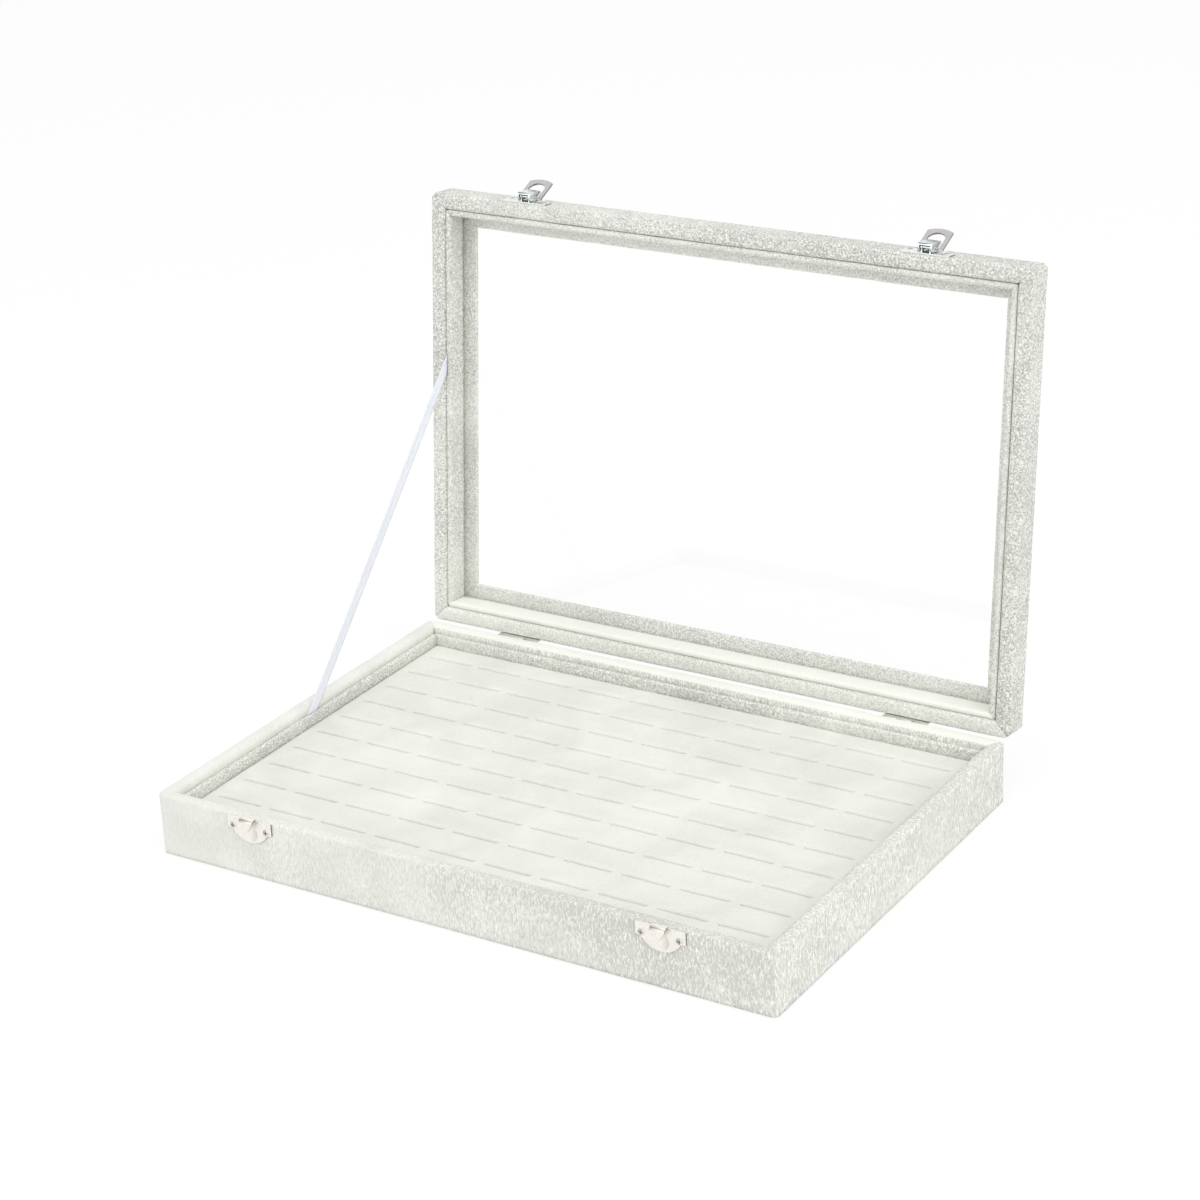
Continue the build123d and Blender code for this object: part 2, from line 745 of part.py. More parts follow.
for name, fitting_x in fitting_places.items():
    face = lid_front_face(fitting_x)
    side_view = Plane(origin=face.origin, x_dir=face.z_dir, z_dir=-face.x_dir)
    pivot = (lever_pivot_out, lever_pivot_up)

    with BuildPart() as latch_plate:
        add(half_moon(face, 1))
        for ear_side in (-1, 1):
            with BuildSketch(side_view.offset(ear_side * ear_outer)):
                with Locations(pivot):
                    Circle(ear_radius)
                with BuildLine():
                    Polyline(
                        (plate_thickness / 2, lever_pivot_up - ear_foot_drop),
                        (lever_pivot_out, lever_pivot_up - ear_foot_drop),
                        (lever_pivot_out, lever_pivot_up + ear_radius),
                        (plate_thickness / 2, lever_pivot_up + ear_radius),
                        close=True,
                    )
                make_face()
                with Locations(pivot):
                    Circle(lever_pin_radius, mode=Mode.SUBTRACT)
            extrude(amount=-ear_side * ear_thickness)
    save(less(latch_plate.part, lid_screw_holes["front"]), f"{name}_latch_plate")

    with BuildPart() as latch_pin:
        with BuildSketch(side_view):
            with Locations(pivot):
                Circle(lever_pin_radius)
        extrude(amount=lever_width / 2 + lever_pin_overhang, both=True)
    save(latch_pin.part, f"{name}_latch_pin")

    with BuildPart() as latch_lever:
        with BuildSketch(side_view):
            with BuildLine():
                root = CenterArc(pivot, lever_root_radius, -90, -90)
                back = Line(root @ 1, (lever_foot, lever_tip))
                tip = TangentArc(back @ 1, (lever_top, lever_tip - lever_tip_drop), tangent=(1, 0))
                Polyline(tip @ 1, (lever_top, lever_nose), root @ 0)
            make_face()
        extrude(amount=lever_width / 2, both=True)
        with BuildSketch(side_view):
            with BuildLine():
                inner_tip = TangentArc(
                    (lever_foot, lever_tip - lever_sheet),
                    (lever_top - lever_sheet, lever_tip - lever_tip_drop),
                    tangent=(1, 0),
                )
                Polyline(
                    inner_tip @ 1,
                    (lever_top - lever_sheet, lever_nose + lever_sheet * (1 - lever_nose_slope)),
                    (lever_lip_end, lever_nose + lever_sheet - lever_lip_reach * lever_nose_slope),
                    (lever_lip_end, -lever_root_radius),
                    (0, -lever_root_radius),
                    (0, lever_tip - lever_sheet),
                    inner_tip @ 0,
                )
            make_face()
        extrude(amount=lever_width / 2 - lever_sheet, both=True, mode=Mode.SUBTRACT)
        with BuildSketch(side_view):
            with Locations(pivot, (loop_pivot_out, loop_pivot_up)):
                Circle(lever_pin_radius + lever_pin_clearance)
        extrude(amount=lever_width, both=True, mode=Mode.SUBTRACT)
    save(latch_lever.part, f"{name}_latch_lever")

    loop_origin = side_view.from_local_coords((loop_pivot_out, loop_pivot_up, 0))
    loop_up = side_view.y_dir * cos(lean) + side_view.x_dir * sin(lean)
    loop_plane = Plane(origin=loop_origin, x_dir=(1, 0, 0), z_dir=Vector(1, 0, 0).cross(loop_up))
    with BuildPart() as latch_loop:
        with BuildSketch(loop_plane.offset(-loop_sheet / 2)):
            with BuildLine():
                Polyline(
                    (-loop_outer_half, loop_shoulder),
                    (-loop_outer_half, -loop_eye_radius),
                    (loop_outer_half, -loop_eye_radius),
                    (loop_outer_half, loop_shoulder),
                )
                ThreePointArc(
                    (loop_outer_half, loop_shoulder),
                    (0, loop_tip),
                    (-loop_outer_half, loop_shoulder),
                )
            make_face()
            with BuildLine():
                Polyline(
                    (-loop_inner_half, loop_opening - loop_opening_round),
                    (-loop_inner_half, -2 * loop_eye_radius),
                    (loop_inner_half, -2 * loop_eye_radius),
                    (loop_inner_half, loop_opening - loop_opening_round),
                )
                ThreePointArc(
                    (loop_inner_half, loop_opening - loop_opening_round),
                    (0, loop_opening),
                    (-loop_inner_half, loop_opening - loop_opening_round),
                )
            make_face(mode=Mode.SUBTRACT)
        extrude(amount=loop_sheet)
        with BuildSketch(side_view):
            with Locations((loop_pivot_out, loop_pivot_up)):
                Circle(lever_pin_radius)
        extrude(amount=loop_inner_half + loop_leg_width / 2, both=True)
    save(latch_loop.part, f"{name}_latch_loop")

# Screws, grouped by what they hold
save(together([screw(place) for place in base_hinge_screws]), "base_hinge_screws")
save(together([screw(place) for place in lid_hinge_screws]), "lid_hinge_screws")
save(together([screw(place) for place in catch_screws]), "catch_screws")
save(together([screw(place) for place in latch_screws]), "latch_screws")
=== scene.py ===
"""Looks of a velvet covered display case: a tray with a slotted pad and a glazed lid standing open.

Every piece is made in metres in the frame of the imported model. Both halves of the case are drawn as
trays that lie on their outer face, in plan coordinates x, y and height, and a matrix per half carries
them to where they stand.
"""

import json
from math import cos, pi, radians, sin

import bmesh
import bpy
import numpy as np
from mathutils import Matrix, Vector, noise


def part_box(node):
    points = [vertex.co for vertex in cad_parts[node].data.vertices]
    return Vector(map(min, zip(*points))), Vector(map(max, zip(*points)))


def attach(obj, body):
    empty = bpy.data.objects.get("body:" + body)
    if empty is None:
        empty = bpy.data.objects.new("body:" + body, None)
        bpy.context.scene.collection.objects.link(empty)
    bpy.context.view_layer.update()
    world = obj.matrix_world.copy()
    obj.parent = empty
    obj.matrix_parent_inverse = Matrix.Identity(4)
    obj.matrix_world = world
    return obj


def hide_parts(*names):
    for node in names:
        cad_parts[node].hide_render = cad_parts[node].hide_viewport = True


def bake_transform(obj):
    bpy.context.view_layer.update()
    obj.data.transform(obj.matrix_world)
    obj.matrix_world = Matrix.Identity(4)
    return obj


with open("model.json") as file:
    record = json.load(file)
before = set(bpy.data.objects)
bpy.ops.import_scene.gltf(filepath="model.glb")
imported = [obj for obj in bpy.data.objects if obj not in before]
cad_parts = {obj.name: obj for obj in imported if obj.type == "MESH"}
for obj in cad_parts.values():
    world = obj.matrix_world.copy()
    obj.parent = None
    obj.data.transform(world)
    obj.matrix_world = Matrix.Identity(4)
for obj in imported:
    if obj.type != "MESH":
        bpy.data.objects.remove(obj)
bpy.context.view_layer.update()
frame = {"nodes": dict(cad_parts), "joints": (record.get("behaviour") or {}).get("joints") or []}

MM = 0.001
NEARLY_NOTHING = 1e-9

# Sizes of the covered walls, of the lip round the glass and of the lining strips
SKIN_THICKNESS = 0.5 * MM
BASE_WALL = 7.2 * MM
LID_WALL = 8.6 * MM
CORNER_ROUND = 3.0 * MM
RIM_ROUND = 2.6 * MM
RIM_OUTER_ROUND = 1.2 * MM
LID_FACE_ROUND = 1.4 * MM
LIP_ROUND = 1.0 * MM
LIP_WIDTH = 19.6 * MM
LIP_THICKNESS = 2.2 * MM
LIP_END_GAP = 0.4 * MM
LINING_GAP = 0.05 * MM
BASE_LINING_ROUND = 1.2 * MM
LID_LINING_ROUND = 1.4 * MM

# How finely the cloth is divided, and the places beside a mitre where its columns stand closer
GRID_STEP = 1.8 * MM
ROUND_POINTS = 6
SMALL_ROUND_POINTS = 5
FROM_MITRE = np.array([0.0, 0.2, 0.5, 0.9, 1.5, 2.4]) * MM

# The seams at the mitres and the cloth's soft unevenness, which each seed draws from another place
SEAM_DEPTH = 0.35 * MM
SEAM_REACH = 0.8 * MM
WAVE_HEIGHT = 0.13 * MM
WAVE_LENGTH = 17.0 * MM
RIPPLE_HEIGHT = 0.05 * MM
RIPPLE_LENGTH = 4.5 * MM
SEED_SHIFT = (7.3, 3.1, 5.7)
FIRST_LINING_SEED = 4
PAD_SEED = 11


def joint(name):
    """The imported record's entry for one joint."""
    return next(entry for entry in frame["joints"] if entry["name"] == name)


def node_points(name):
    """The corners of a CAD node's mesh as an array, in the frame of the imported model."""
    mesh = frame["nodes"][name].data
    points = np.empty(len(mesh.vertices) * 3, np.float32)
    mesh.vertices.foreach_get("co", points)
    return points.reshape(-1, 3).astype(float)


# The camera comes from a fit to the outer corners of the case.
CAMERA_PLACE = Vector((754.936, -1148.866, 710.217)) * MM
CAMERA_YAW = radians(-32.775)
CAMERA_PITCH = radians(23.130)
CAMERA_ROLL = radians(-2.797)
CAMERA_LENS = 92.065
CAMERA_SENSOR = 36.0
CAMERA_NEAR = 0.05
CAMERA_FAR = 60.0

looking = Vector(
    (sin(CAMERA_YAW) * cos(CAMERA_PITCH), cos(CAMERA_YAW) * cos(CAMERA_PITCH), -sin(CAMERA_PITCH))
)
level_right = Vector((cos(CAMERA_YAW), -sin(CAMERA_YAW), 0.0))
level_up = level_right.cross(looking)
camera_right = level_right * cos(CAMERA_ROLL) + level_up * sin(CAMERA_ROLL)
camera_up = level_up * cos(CAMERA_ROLL) - level_right * sin(CAMERA_ROLL)
camera_data = bpy.data.cameras.new("camera")
camera_data.lens = CAMERA_LENS
camera_data.sensor_width = CAMERA_SENSOR
camera_data.clip_start = CAMERA_NEAR
camera_data.clip_end = CAMERA_FAR
camera = bpy.data.objects.new("camera", camera_data)
bpy.context.scene.collection.objects.link(camera)
camera.matrix_world = Matrix(
    (
        (camera_right.x, camera_up.x, -looking.x, CAMERA_PLACE.x),
        (camera_right.y, camera_up.y, -looking.y, CAMERA_PLACE.y),
        (camera_right.z, camera_up.z, -looking.z, CAMERA_PLACE.z),
        (0.0, 0.0, 0.0, 1.0),
    )
)
bpy.context.scene.camera = camera

# Where the two halves are: the tray as it lies, and the lid turned back from shut by its hinge's range.
base_half = Matrix.Identity(4)
hinge = joint("lid_hinge")
hinge_place = Vector(hinge["pos_m"])
open_turn = radians(max(hinge["range_deg"]))
to_hinge = Matrix.Translation(hinge_place)
shut_to_open = to_hinge @ Matrix.Rotation(-open_turn, 4, "X") @ to_hinge.inverted()


def shut_points(name):
    """The corners of one of the lid's CAD nodes as they are when the lid is shut."""
    back = np.array(shut_to_open.inverted())
    return node_points(name) @ back[:3, :3].T + back[:3, 3]


half_width = float(np.abs(node_points("base_left_velvet")[:, 0]).max())
half_depth = float(np.abs(node_points("base_front_velvet")[:, 1]).max())
base_height = float(node_points("base_front_velvet")[:, 2].max())
base_skin_foot = float(node_points("base_front_velvet")[:, 2].min())
base_floor_top = float(node_points("base_front_lining")[:, 2].min())
base_lining_top = float(node_points("base_front_lining")[:, 2].max())
base_lining_inner = half_depth + float(node_points("base_front_lining")[:, 1].max())
closed_top = float(shut_points("lid_front_velvet")[:, 2].max())
lid_height = closed_top - float(shut_points("lid_front_velvet")[:, 2].min())
lid_lining_foot = closed_top - float(shut_points("lid_front_lining")[:, 2].max())
lid_lining_top = closed_top - float(shut_points("lid_front_lining")[:, 2].min())
lid_lining_inner = half_depth + float(shut_points("lid_front_lining")[:, 1].max())
lid_half = shut_to_open @ Matrix(
    ((1.0, 0.0, 0.0, 0.0), (0.0, -1.0, 0.0, 0.0), (0.0, 0.0, -1.0, closed_top), (0.0, 0.0, 0.0, 1.0))
)


def new_material(name):
    """A material with its node tree, its links and its surface shader."""
    material = bpy.data.materials.new(name)
    material.use_nodes = True
    tree = material.node_tree
    surface = next(node for node in tree.nodes if node.type == "BSDF_PRINCIPLED")
    return material, tree, surface


EVEN = (1.0, 1.0, 1.0)
UPRIGHT = (1.0, 1.0, 0.3)
FRONT = (0.0, -1.0, 0.0)

# What the values of a noise texture mostly lie between, and narrower ranges that set it off more
NOISE_RANGE = (0.3, 0.7)
NOISE_MIDDLE = (0.35, 0.65)
TUFT_RANGE = (0.34, 0.66)

# Velvet: its colour, its brightest tufts, its fibres and patches, how much darker rubbed pile is, which
# is painted shade where
#  its growth toward the right stops, as a share of half the width
VELVET_COLOUR = (0.80, 0.812, 0.748)
VELVET_BRIGHTEST = 1.16
BRIGHTEST_CHANNEL = 0.93
FIBRES_PER_TUFT = 2.6
FIBRE_SHARE = 0.3
PATCH_SCALE = 26.0
PATCH_DARK = 0.45
PATCH_LIGHT = 0.69
BRUSHED_SCALE = 13.0
BRUSHED_LEAST = 0.6
BRUSHED_MOST = 1.3
SHADE_AND_WEAR_DARKENING = 0.25
WEAR_AND_SHADE_REACH = 0.4

# Plated metal: the size of its smears and dents, and how squarely a face has to turn to get its painted
# light rather than its painted shade
SMEAR_SCALE = 420.0
SMEAR_DULLEST = 0.86
DENT_SCALE = 160.0
DENT_HEIGHT = 0.4 * MM
DENT_STRENGTH = 0.35
PAINTED_LIGHT_FROM = 0.7


def object_coordinates(tree, stretch):
    """Object coordinates of a piece, scaled differently along its three axes."""
    coordinates = tree.nodes.new("ShaderNodeTexCoord")
    mapping = tree.nodes.new("ShaderNodeMapping")
    mapping.inputs["Scale"].default_value = stretch
    tree.links.new(coordinates.outputs["Object"], mapping.inputs["Vector"])
    return mapping.outputs["Vector"]


def noise_texture(tree, vector, scale, detail=2.0, roughness=0.5, distortion=0.0):
    """A noise texture fed by the given coordinates."""
    texture = tree.nodes.new("ShaderNodeTexNoise")
    texture.inputs["Scale"].default_value = scale
    texture.inputs["Detail"].default_value = detail
    texture.inputs["Roughness"].default_value = roughness
    texture.inputs["Distortion"].default_value = distortion
    tree.links.new(vector, texture.inputs["Vector"])
    return texture.outputs["Fac"]


def remapped(tree, value, low, high, new_low, new_high):
    """A value carried from one range to another, and held there."""
    ramp = tree.nodes.new("ShaderNodeMapRange")
    ramp.inputs["From Min"].default_value = low
    ramp.inputs["From Max"].default_value = high
    ramp.inputs["To Min"].default_value = new_low
    ramp.inputs["To Max"].default_value = new_high
    tree.links.new(value, ramp.inputs["Value"])
    return ramp.outputs["Result"]


def combined(tree, operation, first, second):
    """Two values combined by a math node; either may be a plain number."""
    node = tree.nodes.new("ShaderNodeMath")
    node.operation = operation
    for index, value in enumerate((first, second)):
        if isinstance(value, (int, float)):
            node.inputs[index].default_value = value
        else:
            tree.links.new(value, node.inputs[index])
    return node.outputs[0]


def tinted(tree, factor, dark, light):
    """A colour between two, chosen by a factor from 0 to 1."""
    mix = tree.nodes.new("ShaderNodeMix")
    mix.data_type = "RGBA"
    # A mix node's sockets for colours stand after those for numbers and vectors.
    mix.inputs[6].default_value = (*dark, 1.0)
    mix.inputs[7].default_value = (*light, 1.0)
    tree.links.new(factor, mix.inputs[0])
    return mix.outputs[2]


def show_mix(tree, factor, first, second):
    """Send a mix of two shaders to the output: the first at factor 0, the second at factor 1."""
    mix = tree.nodes.new("ShaderNodeMixShader")
    tree.links.new(factor, mix.inputs["Fac"])
    tree.links.new(first.outputs[0], mix.inputs[1])
    tree.links.new(second.outputs[0], mix.inputs[2])
    output = next(node for node in tree.nodes if node.type in ("OUTPUT_MATERIAL", "OUTPUT_WORLD"))
    tree.links.new(mix.outputs[0], output.inputs["Surface"])


def seen_rays(tree):
    """1 for rays that show a thing, also by mirror or glass, and 0 for rays that light others."""
    path = tree.nodes.new("ShaderNodeLightPath")
    seen = combined(tree, "MAXIMUM", path.outputs["Is Camera Ray"], path.outputs["Is Glossy Ray"])
    return combined(tree, "MAXIMUM", seen, path.outputs["Is Transmission Ray"])


def add_relief(tree, surface, height, strength, distance):
    """Roughen a surface by a height value."""
    bump = tree.nodes.new("ShaderNodeBump")
    bump.inputs["Strength"].default_value = strength
    bump.inputs["Distance"].default_value = distance
    tree.links.new(height, bump.inputs["Height"])
    tree.links.new(bump.outputs["Normal"], surface.inputs["Normal"])


def velvet_material(name, tuft_scale, stretch, contrast, darkest_share, relief_height, wear_and_shade_ends):
    """Short pile in small tufts with broad brushed patches.

    How far the pile is rubbed goes from the first value on the left to the second on the right. Rubbed
    pile
     shows its tufts more and is darker. The darkening that grows toward the right is painted shade, and
     the rest is its tone.
    """
    material, tree, surface = new_material(name)
    plain_place = object_coordinates(tree, EVEN)
    tuft_place = object_coordinates(tree, stretch)
    fibre_scale = FIBRES_PER_TUFT * tuft_scale
    tufts = noise_texture(tree, tuft_place, tuft_scale, roughness=0.6, distortion=0.9)
    fibres = noise_texture(tree, tuft_place, fibre_scale, roughness=0.6, distortion=0.4)
    patches = noise_texture(tree, plain_place, PATCH_SCALE, distortion=0.8)
    brushed = noise_texture(tree, plain_place, BRUSHED_SCALE, detail=1.0, distortion=0.4)
    across = tree.nodes.new("ShaderNodeSeparateXYZ")
    tree.links.new(plain_place, across.inputs[0])
    # This ramp from left to right sets both how rubbed the pile is and how much painted shade it gets.
    wear_and_shade_ramp = remapped(tree, across.outputs["X"], -half_width, WEAR_AND_SHADE_REACH * half_width, *wear_and_shade_ends)
    brushing = remapped(tree, brushed, *NOISE_MIDDLE, BRUSHED_LEAST, BRUSHED_MOST)
    wear_and_shade = combined(tree, "MULTIPLY", wear_and_shade_ramp, brushing)
    tuft_light = remapped(tree, tufts, *TUFT_RANGE, -contrast, contrast)
    fibre_contrast = FIBRE_SHARE * contrast
    fibre_light = remapped(tree, fibres, *NOISE_RANGE, -fibre_contrast, fibre_contrast)
    pile_light = combined(tree, "MULTIPLY", combined(tree, "ADD", tuft_light, fibre_light), wear_and_shade)
    patch_light = remapped(tree, patches, *NOISE_RANGE, PATCH_DARK, PATCH_LIGHT)
    light = combined(tree, "ADD", pile_light, patch_light)
    # Painted shade: the velvet is darker where the ramp toward the right has grown, and in broad random
    # patches.
    light = combined(tree, "SUBTRACT", light, combined(tree, "MULTIPLY", wear_and_shade, SHADE_AND_WEAR_DARKENING))
    darkest = tuple(channel * darkest_share for channel in VELVET_COLOUR)
    brightest = tuple(min(BRIGHTEST_CHANNEL, channel * VELVET_BRIGHTEST) for channel in VELVET_COLOUR)
    tree.links.new(tinted(tree, light, darkest, brightest), surface.inputs["Base Color"])
    add_relief(tree, surface, combined(tree, "MULTIPLY", tufts, wear_and_shade), 1.0, relief_height)
    surface.inputs["Roughness"].default_value = 0.95
    surface.inputs["Specular IOR Level"].default_value = 0.1
    surface.inputs["Sheen Weight"].default_value = 0.12
    surface.inputs["Sheen Roughness"].default_value = 0.5
    surface.inputs["Sheen Tint"].default_value = (1.0, 1.0, 0.98, 1.0)
    return material


def metal_material(name, colour, painted_shade_colour, face_direction, roughness, smear=0.12, painted_side_light=0.5):
    """Plated metal with smears in its gloss.

    It takes the colour of painted shade where it faces away from the given direction, from the front and
    from above, in place of dark reflections and shadow. A share given
     for the sides says how much faces turned to the right are painted lit and faces turned to the left
     are painted shaded.
    """
    material, tree, surface = new_material(name)
    vector = object_coordinates(tree, EVEN)
    smears = noise_texture(tree, vector, SMEAR_SCALE, detail=4.0, roughness=0.6, distortion=1.2)
    dents = noise_texture(tree, vector, DENT_SCALE)
    gloss = remapped(tree, smears, *NOISE_RANGE, roughness, roughness + smear)
    tree.links.new(gloss, surface.inputs["Roughness"])
    coordinates = tree.nodes.new("ShaderNodeTexCoord")
    facing = tree.nodes.new("ShaderNodeVectorMath")
    facing.operation = "DOT_PRODUCT"
    facing.inputs[1].default_value = face_direction
    tree.links.new(coordinates.outputs["Normal"], facing.inputs[0])
    split = tree.nodes.new("ShaderNodeSeparateXYZ")
    tree.links.new(coordinates.outputs["Normal"], split.inputs[0])
    # Painted light and shade: faces turned to the given direction, to the front, up or to the right are
    # painted lit, and the others take the painted shade colour.
    painted_light_facing = combined(tree, "ABSOLUTE", facing.outputs["Value"], 0.0)
    painted_light_facing = combined(tree, "MAXIMUM", painted_light_facing, split.outputs["Z"])
    painted_light_facing = combined(tree, "MAXIMUM", painted_light_facing, combined(tree, "MULTIPLY", split.outputs["Y"], -1.0))
    painted_light_facing = combined(tree, "ADD", painted_light_facing, combined(tree, "MULTIPLY", split.outputs["X"], painted_side_light))
    painted_light_share = remapped(tree, painted_light_facing, PAINTED_LIGHT_FROM, 1.0, 0.0, 1.0)
    smeared = remapped(tree, smears, *NOISE_MIDDLE, SMEAR_DULLEST, 1.0)
    painted_light_share = combined(tree, "MULTIPLY", painted_light_share, smeared)
    tree.links.new(tinted(tree, painted_light_share, painted_shade_colour, colour), surface.inputs["Base Color"])
    add_relief(tree, surface, dents, DENT_STRENGTH, DENT_HEIGHT)
    surface.inputs["Metallic"].default_value = 1.0
    return material


def fibreboard_material():
    """Raw board edges, which show only through the screw holes."""
    material, tree, surface = new_material("raw_fibreboard")
    vector = object_coordinates(tree, (1.0, 1.0, 4.0))
    fibres = noise_texture(tree, vector, 500.0, detail=4.0, roughness=0.6, distortion=0.3)
    tone = remapped(tree, fibres, *NOISE_RANGE, 0.0, 1.0)
    colour = tinted(tree, tone, (0.30, 0.21, 0.13), (0.46, 0.34, 0.22))
    tree.links.new(colour, surface.inputs["Base Color"])
    surface.inputs["Roughness"].default_value = 0.85
    return material


def backing_cloth_material():
    """Thin woven backing under the tray."""
    material, tree, surface = new_material("backing_cloth")
    vector = object_coordinates(tree, EVEN)
    weave = []
    for direction in ("X", "Y"):
        threads = tree.nodes.new("ShaderNodeTexWave")
        threads.bands_direction = direction
        threads.inputs["Scale"].default_value = 420.0
        threads.inputs["Distortion"].default_value = 0.6
        tree.links.new(vector, threads.inputs["Vector"])
        weave.append(threads.outputs["Fac"])
    cloth = combined(tree, "MULTIPLY", weave[0], weave[1])
    colour = tinted(tree, cloth, (0.58, 0.58, 0.55), (0.72, 0.72, 0.69))
    tree.links.new(colour, surface.inputs["Base Color"])
    add_relief(tree, surface, cloth, 1.0, 0.2 * MM)
    surface.inputs["Roughness"].default_value = 0.9
    return material


def satin_material():
    """Woven satin ribbon with fine threads along its length."""
    material, tree, surface = new_material("ribbon_satin")
    vector = object_coordinates(tree, EVEN)
    threads = noise_texture(tree, vector, 1800.0)
    broad = noise_texture(tree, vector, 60.0)
    thread_tone = remapped(tree, threads, *NOISE_RANGE, 0.2, 0.8)
    broad_tone = remapped(tree, broad, *NOISE_RANGE, -0.2, 0.2)
    tone = combined(tree, "ADD", thread_tone, broad_tone)
    colour = tinted(tree, tone, (0.76, 0.78, 0.86), (0.86, 0.87, 0.93))
    tree.links.new(colour, surface.inputs["Base Color"])
    add_relief(tree, surface, threads, 0.4, 0.1 * MM)
    surface.inputs["Roughness"].default_value = 0.42
    surface.inputs["Sheen Weight"].default_value = 0.2
    return material


def glass_material():
    """Clear window glass, which lets the light on what is behind it pass."""
    material, tree, surface = new_material("window_glass")
    vector = object_coordinates(tree, EVEN)
    haze = noise_texture(tree, vector, 25.0, detail=3.0, roughness=0.6, distortion=0.5)
    tree.links.new(remapped(tree, haze, 0.4, 0.8, 0.0, 0.012), surface.inputs["Roughness"])
    surface.inputs["Base Color"].default_value = (0.998, 1.0, 0.999, 1.0)
    surface.inputs["Transmission Weight"].default_value = 1.0
    surface.inputs["IOR"].default_value = 1.45
    path = tree.nodes.new("ShaderNodeLightPath")
    lighting = combined(tree, "MAXIMUM", path.outputs["Is Shadow Ray"], path.outputs["Is Diffuse Ray"])
    let_through = tree.nodes.new("ShaderNodeBsdfTransparent")
    show_mix(tree, lighting, surface, let_through)
    return material


# The cloth of the tray's front and left, with painted shade toward the right, of its back and right,
# painted lighter, of its rim at the back, painted lighter, of the lid's
#  rails, of its rail at the hinges, painted lighter against the shade there, of the linings and the lip,
#  and of the pad
velvet_outer = velvet_material(
    "velvet_outer",
    tuft_scale=1150.0,
    stretch=UPRIGHT,
    contrast=0.5,
    darkest_share=0.72,
    relief_height=0.4 * MM,
    wear_and_shade_ends=(0.2, 1.25),
)
# Painted light: a lighter copy for the tray's right and back, without the painted shade that grows toward
# the right.
velvet_painted_lit_side = velvet_material(
    "velvet_painted_lit_side",
    tuft_scale=1150.0,
    stretch=UPRIGHT,
    contrast=1.0,
    darkest_share=0.72,
    relief_height=0.7 * MM,
    wear_and_shade_ends=(0.6, 0.6),
)
# Painted light: a lighter, smoother copy for the top of the tray's back rim and the lid's lining at the
# hinges.
velvet_painted_light_rim = velvet_material(
    "velvet_painted_light_rim",
    tuft_scale=1150.0,
    stretch=EVEN,
    contrast=0.6,
    darkest_share=0.95,
    relief_height=0.4 * MM,
    wear_and_shade_ends=(0.35, 0.35),
)
velvet_rail = velvet_material(
    "velvet_rail",
    tuft_scale=1050.0,
    stretch=EVEN,
    contrast=1.8,
    darkest_share=0.58,
    relief_height=1.4 * MM,
    wear_and_shade_ends=(0.42, 0.57),
)
# Painted light: a lighter copy for the lid's rail at the hinges, against the shade that falls there.
velvet_painted_light_low_rail = velvet_material(
    "velvet_painted_light_low_rail",
    tuft_scale=1050.0,
    stretch=EVEN,
    contrast=1.8,
    darkest_share=0.84,
    relief_height=1.4 * MM,
    wear_and_shade_ends=(0.42, 0.42),
)
velvet_inner = velvet_material(
    "velvet_inner",
    tuft_scale=1100.0,
    stretch=EVEN,
    contrast=1.1,
    darkest_share=0.62,
    relief_height=0.8 * MM,
    wear_and_shade_ends=(0.55, 0.5),
)
velvet_pad = velvet_material(
    "velvet_pad",
    tuft_scale=1300.0,
    stretch=EVEN,
    contrast=0.16,
    darkest_share=0.74,
    relief_height=0.15 * MM,
    wear_and_shade_ends=(0.6, 0.6),
)

# Plated metal, each with a lit colour and a colour of painted shade for faces turned away. What rides on
# the lid faces the way that the lid's own front faces.
LID_FRONT = tuple(shut_to_open.to_3x3() @ Vector(FRONT))
lever_nickel = metal_material(
    "lever_nickel",
    colour=(0.80, 0.86, 0.85),
    painted_shade_colour=(0.10, 0.11, 0.11),
    face_direction=LID_FRONT,
    roughness=0.12,
    smear=0.10,
    painted_side_light=1.0,
)
loop_nickel = metal_material(
    "loop_nickel",
    colour=(0.74, 0.70, 0.70),
    painted_shade_colour=(0.26, 0.25, 0.25),
    face_direction=LID_FRONT,
    roughness=0.2,
    painted_side_light=0.3,
)
plate_nickel = metal_material(
    "plate_nickel",
    colour=(0.88, 0.90, 0.88),
    painted_shade_colour=(0.42, 0.42, 0.40),
    face_direction=LID_FRONT,
    roughness=0.2,
)
warm_nickel = metal_material(
    "warm_nickel",
    colour=(0.95, 0.92, 0.86),
    painted_shade_colour=(0.34, 0.30, 0.26),
    face_direction=FRONT,
    roughness=0.28,
)
hinge_nickel = metal_material(
    "hinge_nickel",
    colour=(0.90, 0.89, 0.86),
    painted_shade_colour=(0.62, 0.60, 0.57),
    face_direction=FRONT,
    roughness=0.28,
)
lid_hinge_nickel = metal_material(
    "lid_hinge_nickel",
    colour=(0.90, 0.89, 0.86),
    painted_shade_colour=(0.62, 0.60, 0.57),
    face_direction=LID_FRONT,
    roughness=0.28,
)
screw_nickel = metal_material(
    "screw_nickel",
    colour=(0.86, 0.84, 0.80),
    painted_shade_colour=(0.16, 0.14, 0.12),
    face_direction=FRONT,
    roughness=0.22,
)
lid_screw_nickel = metal_material(
    "lid_screw_nickel",
    colour=(0.82, 0.82, 0.80),
    painted_shade_colour=(0.16, 0.15, 0.14),
    face_direction=LID_FRONT,
    roughness=0.22,
)

fibreboard = fibreboard_material()
backing_cloth = backing_cloth_material()
ribbon_satin = satin_material()
window_glass = glass_material()


def dress(node, material):
    """Give a CAD node its material."""
    mesh = frame["nodes"][node].data
    mesh.materials.clear()
    mesh.materials.append(material)


